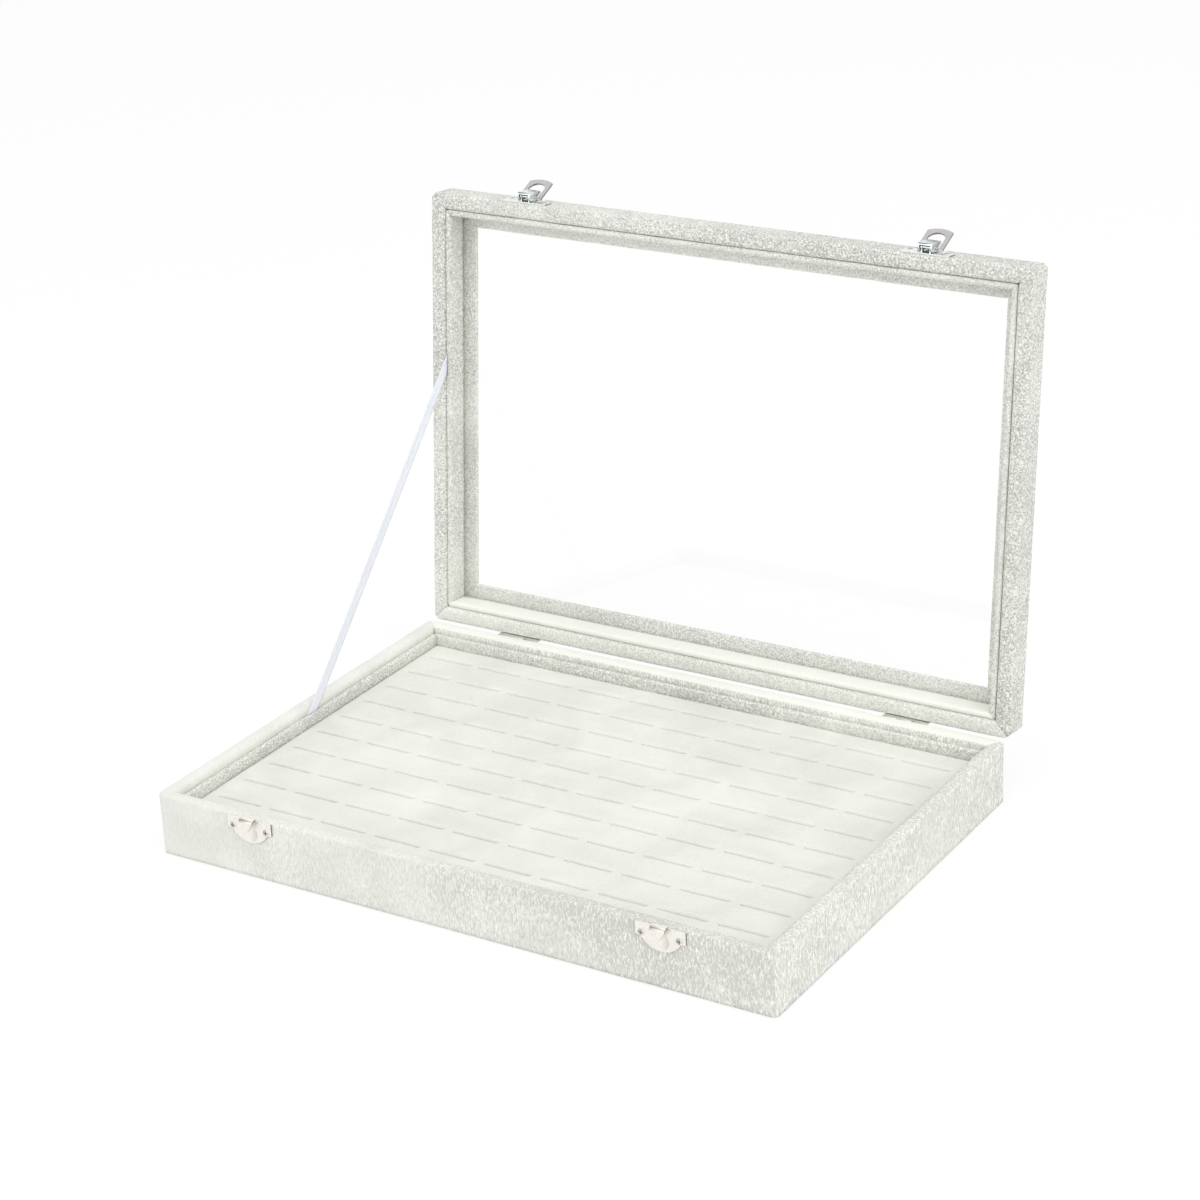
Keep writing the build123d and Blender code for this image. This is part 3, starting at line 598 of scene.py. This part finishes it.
for node in frame["nodes"]:
    if node.endswith(("_wall", "_rail", "_board")):
        dress(node, fibreboard)
    elif node in ("latch_screws", "lid_hinge_screws"):
        dress(node, lid_screw_nickel)
    elif node.endswith("screws"):
        dress(node, screw_nickel)
    elif node.endswith("_catch_plate"):
        dress(node, warm_nickel)
    elif node.endswith("_hinge_lid_leaf"):
        dress(node, lid_hinge_nickel)
    elif "_hinge_" in node:
        dress(node, hinge_nickel)
    elif node.endswith("_latch_plate"):
        dress(node, plate_nickel)
    elif node.endswith("_latch_loop"):
        dress(node, loop_nickel)
    elif "_latch_" in node:
        dress(node, lever_nickel)
dress("base_underside_cover", backing_cloth)
dress("glass_pane", window_glass)


def grid_mesh(name, points, close_rows, cap):
    """A mesh from a grid of points. Rows may close on themselves, and both end columns may be capped."""
    rows, columns = points.shape[:2]
    faces = []
    row_steps = rows if close_rows else rows - 1
    for row in range(row_steps):
        after = (row + 1) % rows
        for column in range(columns - 1):
            faces.append(
                (
                    row * columns + column,
                    row * columns + column + 1,
                    after * columns + column + 1,
                    after * columns + column,
                )
            )
    if cap:
        faces.append(tuple(row * columns for row in range(rows)))
        faces.append(tuple(row * columns + columns - 1 for row in reversed(range(rows))))
    mesh = bpy.data.meshes.new(name)
    mesh.from_pydata(points.reshape(-1, 3).tolist(), [], faces)
    mesh.validate()
    return mesh


def finished_piece(name, mesh, material, body, replaced):
    """Smooth a mesh, give it its material, and let it ride on its body in place of CAD nodes."""
    mesh.materials.append(material)
    mesh.polygons.foreach_set("use_smooth", [True] * len(mesh.polygons))
    piece = bpy.data.objects.new(name, mesh)
    bpy.context.scene.collection.objects.link(piece)
    if body:
        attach(piece, body)
    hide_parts(*replaced)
    return piece


def outward_normals(mesh):
    """Turn the faces of a closed mesh outward."""
    work = bmesh.new()
    work.from_mesh(mesh)
    bmesh.ops.recalc_face_normals(work, faces=work.faces)
    work.to_mesh(mesh)
    work.free()


def arc(centre, radius, start, end, steps):
    """Points of an arc in the plane of a profile, angles in degrees."""
    return [
        (centre[0] + radius * cos(radians(angle)), centre[1] + radius * sin(radians(angle)))
        for angle in np.linspace(start, end, steps)
    ]


def spaced(corners, step):
    """A polyline with extra points, so that none of its runs is longer than the step."""
    points = [corners[0]]
    for start, end in zip(corners, corners[1:]):
        length = float(np.hypot(end[0] - start[0], end[1] - start[1]))
        count = max(1, int(np.ceil(length / step)))
        for index in range(1, count + 1):
            share = index / count
            first = start[0] + (end[0] - start[0]) * share
            second = start[1] + (end[1] - start[1]) * share
            points.append((first, second))
    return np.array(points)


def profile_normals(profile, closed):
    """Unit normals of a profile, on the left of its direction."""
    if closed:
        run = np.roll(profile, -1, axis=0) - np.roll(profile, 1, axis=0)
    else:
        run = np.gradient(profile, axis=0)
    run /= np.linalg.norm(run, axis=1)[:, None]
    return np.stack([-run[:, 1], run[:, 0]], axis=1)


def columns_along(length):
    """Places along one side, from its middle, closer together beside the mitres."""
    inner = length - FROM_MITRE[-1]
    count = int(np.ceil(2 * inner / GRID_STEP))
    middle = np.linspace(-inner, inner, count + 1)
    beside_mitre = FROM_MITRE[:-1]
    return np.concatenate([beside_mitre - length, middle, (length - beside_mitre)[::-1]])


# For each side, the direction along it and the direction outward, in plan
SIDE_AXES = {
    "low_y": ((1, 0), (0, -1)),
    "high_y": ((-1, 0), (0, 1)),
    "low_x": ((0, -1), (-1, 0)),
    "high_x": ((0, 1), (1, 0)),
}


def side_points(inset, height, share, side):
    """Plan points of one mitred side, for insets from the outer face and places along the side.

    A share of 1 or -1 lies on the mitre. The outer corner is rounded, less so the further in it is.
    """
    across_x = side in ("low_y", "high_y")
    long_half = (half_width if across_x else half_depth) - inset
    short_half = (half_depth if across_x else half_width) - inset
    corner = np.maximum(CORNER_ROUND - inset, 0.0)
    straight = long_half - corner
    # Each side takes half of the corner's quarter turn.
    place = share * (straight + corner * pi / 4)
    beyond = np.maximum(np.abs(place) - straight, 0.0)
    turn = np.where(corner > NEARLY_NOTHING, beyond / np.maximum(corner, NEARLY_NOTHING), 0.0)
    along = np.sign(place) * (np.minimum(np.abs(place), straight) + corner * np.sin(turn))
    outward = short_half - corner * (1 - np.cos(turn))
    along_axis, outward_axis = SIDE_AXES[side]
    x = along * along_axis[0] + outward * outward_axis[0]
    y = along * along_axis[1] + outward * outward_axis[1]
    return np.stack([x, y, np.broadcast_to(height, x.shape)], axis=-1)


def unevenness(points, seed):
    """How far soft cloth stands above or below its form at each point."""
    flat = points.reshape(-1, 3)
    shift = Vector([seed * step for step in SEED_SHIFT])
    heights = np.empty(len(flat))
    for index, point in enumerate(flat):
        place = Vector(point)
        heights[index] = WAVE_HEIGHT * noise.noise(place / WAVE_LENGTH + shift)
        heights[index] += RIPPLE_HEIGHT * noise.noise(place / RIPPLE_LENGTH + shift)
    return heights.reshape(points.shape[:-1])


def wrapped_side(name, half, side, profile, solid, material, body, replaced, seed, dent=None):
    """One velvet covered side of a half, swept between its two mitres with a seam at each end.

    A solid profile is closed; an open one becomes a skin with its own thickness.
    """
    outward = profile_normals(profile, solid)
    across_x = side in ("low_y", "high_y")
    half_length = half_width if across_x else half_depth
    longest = half_length - CORNER_ROUND + CORNER_ROUND * pi / 4
    places = columns_along(longest)
    share = places / longest
    inset = np.repeat(profile[:, :1], len(places), axis=1)
    height = np.repeat(profile[:, 1:], len(places), axis=1)
    form = side_points(inset, height, share[None, :], side)
    rise = unevenness(form, seed)
    rise -= SEAM_DEPTH * np.exp(-(((longest - np.abs(places)) / SEAM_REACH) ** 2))[None, :]
    if dent is not None:
        rise -= dent(form, inset)
    outer_inset = inset + rise * outward[:, :1]
    outer_height = height + rise * outward[:, 1:]
    if not solid:
        inner_inset = (outer_inset - SKIN_THICKNESS * outward[:, :1])[::-1]
        inner_height = (outer_height - SKIN_THICKNESS * outward[:, 1:])[::-1]
        outer_inset = np.concatenate([outer_inset, inner_inset])
        outer_height = np.concatenate([outer_height, inner_height])
    points = side_points(outer_inset, outer_height, share[None, :], side)
    turned = points @ np.array(half)[:3, :3].T + np.array(half)[:3, 3]
    mesh = grid_mesh(name, turned, close_rows=True, cap=True)
    outward_normals(mesh)
    return finished_piece(name, mesh, material, body, replaced)


def rim_profile(wall, foot, height):
    """A covered wall's section up its inner face, over its rim and to its outer face."""
    return (
        [(wall, foot), (wall, height - RIM_ROUND)]
        + arc((wall - RIM_ROUND, height - RIM_ROUND), RIM_ROUND, 0, 90, ROUND_POINTS)[1:]
        + arc((RIM_OUTER_ROUND, height - RIM_OUTER_ROUND), RIM_OUTER_ROUND, 90, 180, SMALL_ROUND_POINTS)
    )


def lining_profile(wall, inner, foot, top, rounding):
    """A lining strip's section: up beside the wall, over its rounded top and down its inner face."""
    outer = wall + LINING_GAP
    return spaced(
        [(outer, foot)]
        + arc((outer + rounding, top - rounding), rounding, 180, 90, ROUND_POINTS)
        + arc((inner - rounding, top - rounding), rounding, 90, 0, ROUND_POINTS)
        + [(inner, foot)],
        GRID_STEP,
    )


# Profiles run so that their left side is the outside of the cloth: inset from the outer face, height.
base_skin_profile = spaced(
    rim_profile(BASE_WALL, base_floor_top, base_height) + [(0.0, base_skin_foot)], GRID_STEP
)[::-1]
lip_round_inset = LIP_WIDTH - LIP_ROUND
lid_skin_profile = spaced(
    rim_profile(LID_WALL, lid_lining_foot, lid_height)
    + arc((LID_FACE_ROUND, LID_FACE_ROUND), LID_FACE_ROUND, 180, 270, SMALL_ROUND_POINTS)
    + arc((lip_round_inset, LIP_ROUND), LIP_ROUND, 270, 360, SMALL_ROUND_POINTS)
    + arc((lip_round_inset, LIP_THICKNESS - LIP_ROUND), LIP_ROUND, 0, 90, SMALL_ROUND_POINTS)
    + [(LID_WALL + LIP_END_GAP, LIP_THICKNESS)],
    GRID_STEP,
)[::-1]
base_lining_profile = lining_profile(
    BASE_WALL, base_lining_inner, base_floor_top, base_lining_top, BASE_LINING_ROUND
)
lid_lining_profile = lining_profile(
    LID_WALL, lid_lining_inner, lid_lining_foot, lid_lining_top, LID_LINING_ROUND
)

# The ribbon's run, from the two ends of the CAD strip
RIBBON_WIDTH = 6.4 * MM
RIBBON_THICKNESS = 0.3 * MM
RIBBON_TAIL = 11.0 * MM

# How far a lining gives way over a tucked end of the ribbon, and how near to it
TUCK_DEPTH = 0.55 * MM
TUCK_REACH = 0.75 * RIBBON_WIDTH
TUCK_FADE = 0.25 * RIBBON_WIDTH
OUTER_FACE = 1.5 * MM

ribbon_corners = node_points("ribbon_stay")
ribbon_middle = ribbon_corners.mean(axis=0)
# The strip runs in the direction in which its corners are spread the furthest.
ribbon_line = np.linalg.svd(ribbon_corners - ribbon_middle)[2][0]
ribbon_line *= np.sign(ribbon_line[2])
ribbon_reach = (ribbon_corners - ribbon_middle) @ ribbon_line
ribbon_foot = Vector(ribbon_middle + ribbon_line * ribbon_reach.min())
ribbon_head = Vector(ribbon_middle + ribbon_line * ribbon_reach.max())
ribbon_direction = (ribbon_head - ribbon_foot).normalized()


def ribbon_dent(half):
    """How far a lining gives way on its outer face where the ribbon is tucked in behind it."""
    turn = np.array(half)

    def dent(points, inset):
        placed = points @ turn[:3, :3].T + turn[:3, 3]
        offset = placed - np.array(ribbon_foot)
        along = offset @ np.array(ribbon_direction)
        beside = offset - along[..., None] * np.array(ribbon_direction)
        beside[..., 0] = 0.0
        distance = np.linalg.norm(beside, axis=-1)
        near = np.clip((TUCK_REACH - distance) / TUCK_FADE, 0.0, 1.0)
        return TUCK_DEPTH * near * (inset < inset.min() + OUTER_FACE)

    return dent


HINGE_PRESS = 0.25 * MM
HINGE_PRESS_MARGIN = 1.0 * MM
HINGE_BOXES = [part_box(f"{side}_hinge_base_leaf") for side in ("left", "right")]


def hinge_dent(points, inset):
    """How far the cloth of a back is pressed in under the hinges."""
    under = np.zeros(inset.shape, bool)
    for low, high in HINGE_BOXES:
        right_of_low = points[..., 0] > low.x - HINGE_PRESS_MARGIN
        left_of_high = points[..., 0] < high.x + HINGE_PRESS_MARGIN
        under |= right_of_low & left_of_high
    return HINGE_PRESS * under * (inset < RIM_OUTER_ROUND)


def on_lip(place):
    """Whether a place on the lid's cloth is on the lip round the glass."""
    in_plan = lid_half.inverted() @ place
    return abs(in_plan.x) < half_width - LID_WALL and abs(in_plan.y) < half_depth - LID_WALL


def on_rim(place):
    """Whether a place on the tray's cloth is on top of the rim."""
    return place.z > base_height - RIM_OUTER_ROUND


def smoothed(skin, cloth, chosen):
    """Give the chosen faces of a skin a smoother cloth."""
    skin.data.materials.append(cloth)
    for face in skin.data.polygons:
        if chosen(face.center):
            face.material_index = 1


# For each half, its body, where it stands and which side of the plan each of its sides is
HALVES = {
    "base": ("tray", base_half, {"front": "low_y", "back": "high_y", "left": "low_x", "right": "high_x"}),
    "lid": ("lid", lid_half, {"front": "high_y", "back": "low_y", "left": "low_x", "right": "high_x"}),
}
SKIN_PROFILES = {"base": base_skin_profile, "lid": lid_skin_profile}
LINING_PROFILES = {"base": base_lining_profile, "lid": lid_lining_profile}
# The tray's back and right, the top of its back rim, and the lid's rail and lining at the hinges take
# copies painted lighter.
SKIN_CLOTHS = {
    "base": {"front": velvet_outer, "back": velvet_painted_lit_side, "left": velvet_outer, "right": velvet_painted_lit_side},
    "lid": {"front": velvet_rail, "back": velvet_painted_light_low_rail, "left": velvet_rail, "right": velvet_rail},
}
LINING_CLOTHS = {
    "base": {"front": velvet_inner, "back": velvet_inner, "left": velvet_inner, "right": velvet_inner},
    "lid": {"front": velvet_inner, "back": velvet_painted_light_rim, "left": velvet_inner, "right": velvet_inner},
}
for half_name, (body, half, side_names) in HALVES.items():
    for seed, (side_name, side) in enumerate(side_names.items()):
        skin = wrapped_side(
            f"{half_name}_{side_name}_velvet_wrap",
            half,
            side,
            profile=SKIN_PROFILES[half_name],
            solid=False,
            material=SKIN_CLOTHS[half_name][side_name],
            body=body,
            replaced=[f"{half_name}_{side_name}_velvet"],
            seed=seed,
            dent=hinge_dent if side_name == "back" else None,
        )
        if half_name == "lid":
            smoothed(skin, velvet_inner, on_lip)
        elif side_name == "back":
            # The top of the tray's back rim is painted lighter.
            smoothed(skin, velvet_painted_light_rim, on_rim)
        wrapped_side(
            f"{half_name}_{side_name}_lining_wrap",
            half,
            side,
            profile=LINING_PROFILES[half_name],
            solid=True,
            material=LINING_CLOTHS[half_name][side_name],
            body=body,
            replaced=[f"{half_name}_{side_name}_lining"],
            seed=FIRST_LINING_SEED + seed,
            dent=ribbon_dent(half) if side_name == "left" else None,
        )

# Pad: one foam block under velvet, with soft lips round every slit
PAD_EDGE_ROUND = 2.2 * MM
PAD_UNEVENNESS = 1.6
SLIT_PITCH_ACROSS = 32.0 * MM
SLIT_PITCH_DEEP = 20.8 * MM
SLIT_HALF_LENGTH = 13.0 * MM
SLIT_HALF_GAP = 0.4 * MM
SLIT_DEPTH = 12.5 * MM
SLIT_COLUMNS = 10
SLIT_ROWS = 10

# A slit's rounded lips, and the taper at both of its ends
SLIT_LIP = 1.5 * MM
SLIT_END_REACH = 0.5 * MM
SLIT_END_TAPER = 1.3 * MM

# The velvet's swell beside a slit: how high it is, where it is highest and where it ends
SWELL_HEIGHT = 0.35 * MM
SWELL_PLACE = 3.2 * MM
SWELL_REACH = 2.6 * MM
SWELL_END_REACH = 3.0 * MM
SWELL_END_TAPER = 5.0 * MM

# Grid lines of the pad, as distances from its edges and from the middle of a slit. Two of those beside a
# slit stand close to either side of its gap's edge, so that its wall goes nearly straight down.
FROM_PAD_EDGE = np.array([0.0, 0.15, 0.45, 0.9, 1.5, 2.2, 3.6, 6.0]) * MM
BESIDE_SLIT = np.array([0.0, 0.36, 0.42, 0.6, 0.9, 1.3, 1.9, 2.8, 4.2, 6.2, 8.4]) * MM
ROUND_SLIT_END = [11.6, 12.2, 12.6, 13.0, 13.4, 14.0, 15.0, 16.0]
ALONG_SLIT = np.concatenate([np.arange(0.0, 11.0, 2.2), ROUND_SLIT_END]) * MM
CLOSEST_LINES = 0.015 * MM

pad_low, pad_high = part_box("pad_velvet")
pad_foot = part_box("pad_foam")[0].z
slit_middles_x = (np.arange(SLIT_COLUMNS) - (SLIT_COLUMNS - 1) / 2) * SLIT_PITCH_ACROSS
slit_middles_y = (np.arange(SLIT_ROWS) - (SLIT_ROWS - 1) / 2) * SLIT_PITCH_DEEP


def pad_lines(middles, from_slit, low, high):
    """Grid lines of the pad in one direction: close together round every slit and along both edges."""
    offsets = np.concatenate([-from_slit[::-1], from_slit[1:]])
    round_slits = (middles[:, None] + offsets[None, :]).ravel()
    lines = np.concatenate([round_slits, low + FROM_PAD_EDGE, high - FROM_PAD_EDGE])
    lines = np.sort(lines[(lines >= low) & (lines <= high)])
    keep = np.concatenate([[True], np.diff(lines) > CLOSEST_LINES])
    return lines[keep]


def quarter_round(place, radius):
    """How far a quarter round has dropped at a place from 0, where it starts, to 1, where it ends."""
    return radius * (1 - np.sqrt(1 - np.clip(place, 0.0, 1.0) ** 2))


lines_x = pad_lines(slit_middles_x, ALONG_SLIT, pad_low.x, pad_high.x)
lines_y = pad_lines(slit_middles_y, BESIDE_SLIT, pad_low.y, pad_high.y)
pad_x, pad_y = np.meshgrid(lines_x, lines_y, indexing="ij")
from_slit_x = np.abs(pad_x[..., None] - slit_middles_x).min(axis=-1)
from_slit_y = np.abs(pad_y[..., None] - slit_middles_y).min(axis=-1)
open_share = np.clip((SLIT_HALF_LENGTH + SLIT_END_REACH - from_slit_x) / SLIT_END_TAPER, 0.0, 1.0)
# Eased, so that a slit opens and closes softly toward its ends.
open_share = open_share * open_share * (3 - 2 * open_share)
lip_drop = quarter_round((SLIT_HALF_GAP + SLIT_LIP - from_slit_y) / SLIT_LIP, SLIT_LIP)
slit_drop = np.where(from_slit_y < SLIT_HALF_GAP, SLIT_DEPTH, lip_drop) * open_share
swell = SWELL_HEIGHT * np.exp(-(((from_slit_y - SWELL_PLACE) / SWELL_REACH) ** 2))
swell *= np.clip((SLIT_HALF_LENGTH + SWELL_END_REACH - from_slit_x) / SWELL_END_TAPER, 0.0, 1.0)
from_edge_x = np.minimum(pad_x - pad_low.x, pad_high.x - pad_x)
from_edge_y = np.minimum(pad_y - pad_low.y, pad_high.y - pad_y)
edge_drop = np.zeros_like(pad_x)
for from_edge in (from_edge_x, from_edge_y):
    edge_drop += quarter_round((PAD_EDGE_ROUND - from_edge) / PAD_EDGE_ROUND, PAD_EDGE_ROUND)
pad_top = np.stack([pad_x, pad_y, np.full_like(pad_x, pad_high.z)], axis=-1)
pad_top[..., 2] += swell - edge_drop - slit_drop
pad_top[..., 2] += PAD_UNEVENNESS * unevenness(pad_top, PAD_SEED)


def pad_mesh(name, top, foot):
    """The pad's surface with a skirt down to its foot and a flat underside."""
    rows, columns = top.shape[:2]
    surface = grid_mesh(name, top, close_rows=False, cap=False)
    vertices = [tuple(vertex.co) for vertex in surface.vertices]
    faces = [tuple(face.vertices) for face in surface.polygons]
    rim = [row * columns for row in range(rows)]
    rim += [(rows - 1) * columns + column for column in range(1, columns)]
    rim += [row * columns + columns - 1 for row in range(rows - 2, -1, -1)]
    rim += [column for column in range(columns - 2, 0, -1)]
    below = len(vertices)
    for index in rim:
        vertices.append((vertices[index][0], vertices[index][1], foot))
    for place, index in enumerate(rim):
        after = (place + 1) % len(rim)
        faces.append((index, rim[after], below + after, below + place))
    faces.append(tuple(range(below, below + len(rim))))
    surface.clear_geometry()
    surface.from_pydata(vertices, [], faces)
    surface.validate()
    outward_normals(surface)
    return surface


slotted_pad = finished_piece(
    "slotted_velvet_pad",
    pad_mesh("slotted_velvet_pad", pad_top, pad_foot),
    velvet_pad,
    "tray",
    ["pad_velvet", "pad_foam"],
)

# Ribbon stay: a flat woven strip, slightly cupped across its width
RIBBON_STEP = 2.0 * MM
RIBBON_FACE_ROWS = 9
RIBBON_EDGE_SHARE = 0.5

# The cup of the ribbon: its height, where it is level, its rise from the tucked ends and its unevenness
RIBBON_CUP = 0.25 * MM
CUP_LEVEL = 0.4
CUP_RISE = 25.0 * MM
CUP_STEADY = 0.8
CUP_CHANGE = 0.4
CUP_CHANGE_LENGTH = 40.0 * MM

ribbon_length = (ribbon_head - ribbon_foot).length
ribbon_count = int(ribbon_length / RIBBON_STEP)
ribbon_side = Vector((1.0, 0.0, 0.0)).cross(ribbon_direction).normalized()
ribbon_face = ribbon_direction.cross(ribbon_side).normalized()
one_face = np.linspace(-1, 1, RIBBON_FACE_ROWS)
ribbon_rows = np.concatenate([one_face, one_face[::-1]])
ribbon_points = np.empty((len(ribbon_rows), ribbon_count + 1, 3))
for column in range(ribbon_count + 1):
    along = column / ribbon_count * ribbon_length
    centre = ribbon_foot + ribbon_direction * along
    free = min(1.0, max(0.0, min(along, ribbon_length - along) - RIBBON_TAIL) / CUP_RISE)
    change = noise.noise(Vector((along / CUP_CHANGE_LENGTH, 0.0, 3.0)))
    cup = RIBBON_CUP * free * (CUP_STEADY + CUP_CHANGE * change)
    for row, across in enumerate(ribbon_rows):
        from_middle = RIBBON_THICKNESS / 2 if row < RIBBON_FACE_ROWS else -RIBBON_THICKNESS / 2
        if row % RIBBON_FACE_ROWS in (0, RIBBON_FACE_ROWS - 1):
            from_middle *= RIBBON_EDGE_SHARE
        beside = ribbon_side * (0.5 * RIBBON_WIDTH * across)
        above = ribbon_face * (from_middle + cup * (across * across - CUP_LEVEL))
        ribbon_points[row, column] = centre + beside + above
ribbon_mesh = grid_mesh("ribbon_strip", ribbon_points, close_rows=True, cap=True)
outward_normals(ribbon_mesh)
ribbon = finished_piece("ribbon_strip", ribbon_mesh, ribbon_satin, None, ["ribbon_stay"])
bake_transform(ribbon)

# Metal fittings get slightly broken edges, and the catches broader ones.
EDGE_BREAK = 0.12 * MM
CATCH_EDGE_BREAK = 0.4 * MM
EDGE_ANGLE = radians(40)
WELD_DISTANCE = 0.01 * MM
for node, fitting in frame["nodes"].items():
    if node.endswith(("_plate", "_lever", "_loop", "_leaf")):
        weld = fitting.modifiers.new("joined", "WELD")
        weld.merge_threshold = WELD_DISTANCE
        edge_break = fitting.modifiers.new("broken_edges", "BEVEL")
        edge_break.width = CATCH_EDGE_BREAK if node.endswith("_catch_plate") else EDGE_BREAK
        edge_break.segments = 2
        edge_break.limit_method = "ANGLE"
        edge_break.angle_limit = EDGE_ANGLE

# Floor, light and background
FLOOR_REACH = 20.0
FLOOR_DROP = 0.2 * MM
FLOOR_COLOUR = (0.93, 0.93, 0.93, 1.0)
FLOOR_GLOW = 0.8
WHITE = (1.0, 1.0, 1.0, 1.0)
ROOM_COLOUR = (0.985, 0.993, 1.0, 1.0)
ROOM_BRIGHTNESS = 0.86
CASE_MIDDLE = Vector((0.0, 0.02, 0.12))

floor_corners = [
    (-FLOOR_REACH, -FLOOR_REACH, 0.0),
    (FLOOR_REACH, -FLOOR_REACH, 0.0),
    (FLOOR_REACH, FLOOR_REACH, 0.0),
    (-FLOOR_REACH, FLOOR_REACH, 0.0),
]
floor_mesh = bpy.data.meshes.new("floor")
floor_mesh.from_pydata(floor_corners, [], [(0, 1, 2, 3)])
floor = bpy.data.objects.new("floor", floor_mesh)
floor.location.z = -FLOOR_DROP
bpy.context.scene.collection.objects.link(floor)
floor_material, floor_tree, floor_surface = new_material("pale_floor")
floor_surface.inputs["Base Color"].default_value = FLOOR_COLOUR
floor_surface.inputs["Roughness"].default_value = 0.9
floor_surface.inputs["Specular IOR Level"].default_value = 0.0
floor_glow = floor_tree.nodes.new("ShaderNodeEmission")
floor_glow.inputs["Color"].default_value = WHITE
floor_glow.inputs["Strength"].default_value = 1.0
glow_share = combined(floor_tree, "MULTIPLY", seen_rays(floor_tree), FLOOR_GLOW)
show_mix(floor_tree, glow_share, floor_surface, floor_glow)
floor_mesh.materials.append(floor_material)


def background(tree, colour, strength):
    """A background of one colour."""
    node = tree.nodes.new("ShaderNodeBackground")
    node.inputs["Color"].default_value = colour
    node.inputs["Strength"].default_value = strength
    return node


world = bpy.data.worlds.new("soft_studio")
bpy.context.scene.world = world
world.use_nodes = True
world_tree = world.node_tree
world_tree.nodes.clear()
world_tree.nodes.new("ShaderNodeOutputWorld")
room_light = background(world_tree, ROOM_COLOUR, ROOM_BRIGHTNESS)
seen_white = background(world_tree, WHITE, 1.0)
show_mix(world_tree, seen_rays(world_tree), room_light, seen_white)


def soft_lamp(name, place, size, power):
    """A large square lamp that looks at the middle of the case."""
    data = bpy.data.lights.new(name, "AREA")
    data.size = size
    data.energy = power
    lamp = bpy.data.objects.new(name, data)
    lamp.location = place
    lamp.rotation_euler = (CASE_MIDDLE - Vector(place)).to_track_quat("-Z", "Y").to_euler()
    bpy.context.scene.collection.objects.link(lamp)


soft_lamp("overhead_lamp", place=(0.5, -0.5, 2.6), size=1.8, power=19.0)
soft_lamp("front_lamp", place=(-1.1, -2.1, 1.3), size=1.4, power=6.5)
soft_lamp("right_lamp", place=(2.5, -0.6, 1.2), size=1.6, power=13.0)

bpy.context.scene.view_settings.view_transform = "Standard"
